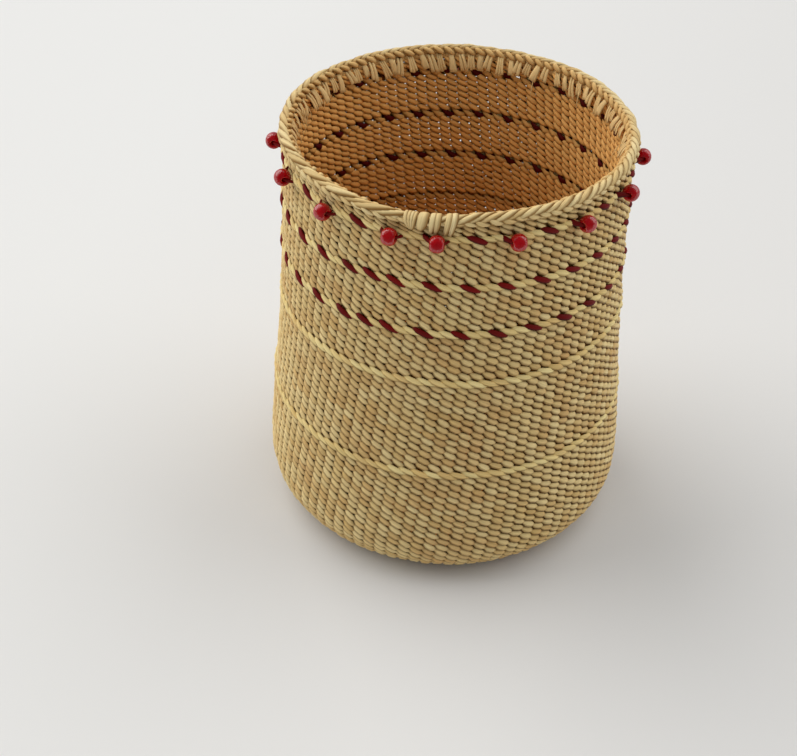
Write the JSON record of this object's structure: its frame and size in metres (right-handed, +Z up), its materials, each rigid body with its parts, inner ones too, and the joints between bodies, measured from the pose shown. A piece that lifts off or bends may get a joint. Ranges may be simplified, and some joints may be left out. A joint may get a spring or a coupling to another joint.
{
  "type": "twined basket",
  "caption": "Small round twined basket with red rows, a braided rim and glass beads that turn on a red strand under the rim.",
  "frame": {"origin": "middle of the flat base, on the surface that the basket stands on", "axes": "+Z up through the mouth; the join of the rows and the rim wraps face -Y"},
  "size_m": [0.071, 0.074, 0.0799],
  "materials": {
    "straw": "unfinished split plant fibre, twined",
    "raised_straw": "unfinished split plant fibre, three-strand twined",
    "red_strand": "plant fibre dyed dark red, twined with straw strands",
    "warp_ends": "flat papery warp ends, clipped",
    "rim_straw": "pale split plant fibre, braided",
    "red_glass": "translucent red glass, polished"
  },
  "bodies": {
    "weave": {"base_start": "straw", "base_twining": "straw", "heel_twining": "straw", "lower_wall": "straw", "lower_raised_row": "raised_straw", "middle_wall": "straw", "upper_raised_row": "raised_straw", "upper_wall": "straw", "lower_red_row": "red_strand", "lower_red_field": "straw", "upper_red_row": "red_strand", "upper_red_field": "straw", "bead_row": "red_strand", "neck_twining": "straw", "clipped_warp_ends": "warp_ends", "rim_braid": "rim_straw", "braid_end_fold": "rim_straw", "rim_wrap_left": "rim_straw", "rim_wrap_right": "rim_straw"},
    "bead_01": {"bead_01": "red_glass"},
    "bead_02": {"bead_02": "red_glass"},
    "bead_03": {"bead_03": "red_glass"},
    "bead_04": {"bead_04": "red_glass"},
    "bead_05": {"bead_05": "red_glass"},
    "bead_06": {"bead_06": "red_glass"},
    "bead_07": {"bead_07": "red_glass"},
    "bead_08": {"bead_08": "red_glass"},
    "bead_09": {"bead_09": "red_glass"},
    "bead_10": {"bead_10": "red_glass"},
    "bead_11": {"bead_11": "red_glass"},
    "bead_12": {"bead_12": "red_glass"},
    "bead_13": {"bead_13": "red_glass"},
    "bead_14": {"bead_14": "red_glass"},
    "bead_15": {"bead_15": "red_glass"},
    "bead_16": {"bead_16": "red_glass"}
  },
  "joints": [
    {"name": "bead_01_turn", "type": "hinge", "parent": "weave", "child": "bead_01", "pos_m": [-0.00256, -0.03445, 0.0739], "axis": [0.9968, -0.0802, 0], "continuous": true},
    {"name": "bead_02_turn", "type": "hinge", "parent": "weave", "child": "bead_02", "pos_m": [0.01065, -0.03272, 0.0739], "axis": [0.9432, 0.3323, 0], "continuous": true},
    {"name": "bead_03_turn", "type": "hinge", "parent": "weave", "child": "bead_03", "pos_m": [0.02213, -0.02575, 0.0739], "axis": [0.732, 0.6813, 0], "continuous": true},
    {"name": "bead_04_turn", "type": "hinge", "parent": "weave", "child": "bead_04", "pos_m": [0.03006, -0.01467, 0.0739], "axis": [0.4108, 0.9117, 0], "continuous": true},
    {"name": "bead_05_turn", "type": "hinge", "parent": "weave", "child": "bead_05", "pos_m": [0.03318, -0.00125, 0.0739], "axis": [0.0349, 0.9994, 0], "continuous": true},
    {"name": "bead_06_turn", "type": "hinge", "parent": "weave", "child": "bead_06", "pos_m": [0.031, 0.01236, 0.0739], "axis": [-0.3454, 0.9384, 0], "continuous": true},
    {"name": "bead_07_turn", "type": "hinge", "parent": "weave", "child": "bead_07", "pos_m": [0.02387, 0.02401, 0.0739], "axis": [-0.6805, 0.7328, 0], "continuous": true},
    {"name": "bead_08_turn", "type": "hinge", "parent": "weave", "child": "bead_08", "pos_m": [0.01291, 0.03183, 0.0739], "axis": [-0.9156, 0.4021, 0], "continuous": true},
    {"name": "bead_09_turn", "type": "hinge", "parent": "weave", "child": "bead_09", "pos_m": [-0.00014, 0.03455, 0.0739], "axis": [-1, -0.0044, 0], "continuous": true},
    {"name": "bead_10_turn", "type": "hinge", "parent": "weave", "child": "bead_10", "pos_m": [-0.01317, 0.03172, 0.0739], "axis": [-0.9121, -0.41, 0], "continuous": true},
    {"name": "bead_11_turn", "type": "hinge", "parent": "weave", "child": "bead_11", "pos_m": [-0.02407, 0.0238, 0.0739], "axis": [-0.6743, -0.7384, 0], "continuous": true},
    {"name": "bead_12_turn", "type": "hinge", "parent": "weave", "child": "bead_12", "pos_m": [-0.0311, 0.01209, 0.0739], "axis": [-0.3378, -0.9412, 0], "continuous": true},
    {"name": "bead_13_turn", "type": "hinge", "parent": "weave", "child": "bead_13", "pos_m": [-0.03317, -0.00154, 0.0739], "axis": [0.0429, -0.9991, 0], "continuous": true},
    {"name": "bead_14_turn", "type": "hinge", "parent": "weave", "child": "bead_14", "pos_m": [-0.02994, -0.01493, 0.0739], "axis": [0.4183, -0.9083, 0], "continuous": true},
    {"name": "bead_15_turn", "type": "hinge", "parent": "weave", "child": "bead_15", "pos_m": [-0.02192, -0.02594, 0.0739], "axis": [0.7377, -0.6751, 0], "continuous": true},
    {"name": "bead_16_turn", "type": "hinge", "parent": "weave", "child": "bead_16", "pos_m": [-0.01038, -0.03282, 0.0739], "axis": [0.946, -0.3241, 0], "continuous": true}
  ]
}
